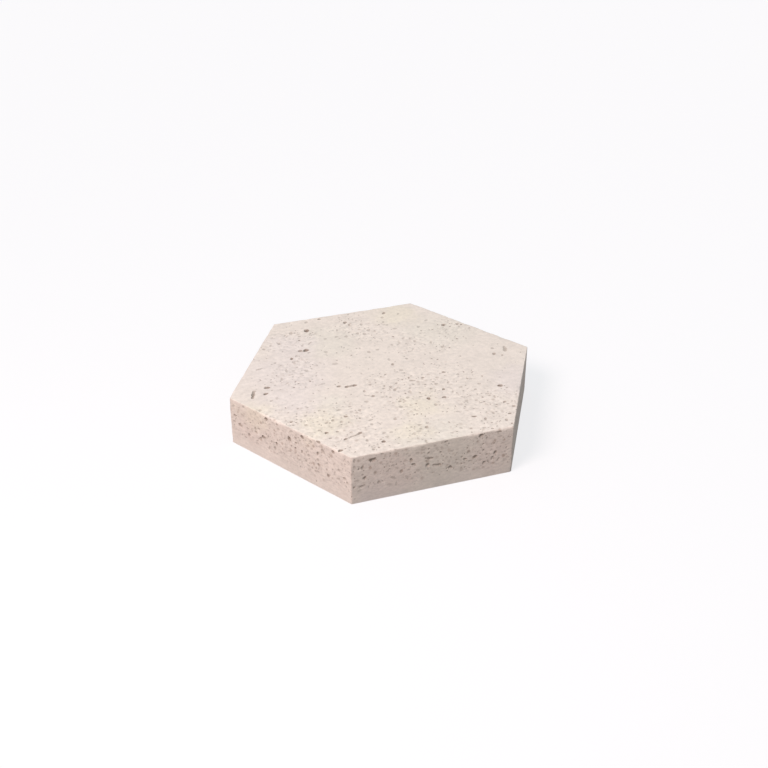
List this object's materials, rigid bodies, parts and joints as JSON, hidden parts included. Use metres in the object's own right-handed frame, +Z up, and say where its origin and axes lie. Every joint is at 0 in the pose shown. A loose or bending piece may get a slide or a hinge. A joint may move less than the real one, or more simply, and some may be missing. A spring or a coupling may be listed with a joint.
{
  "type": "hexagonal paving slab",
  "caption": "Regular hexagonal paving slab of pale pitted cast stone, flat on both faces with upright sides, laid edge to edge on a bed to make paths and patios.",
  "frame": {"origin": "centre of the bed face, the underside that the slab lies on", "axes": "+Z up through the walking face; +X through a corner, across the corners; +Y square to a joint face, across the flats"},
  "size_m": [0.375, 0.325, 0.06],
  "materials": {
    "cast_stone": "matte"
  },
  "bodies": {
    "root": {"slab": "cast_stone"}
  },
  "joints": []
}
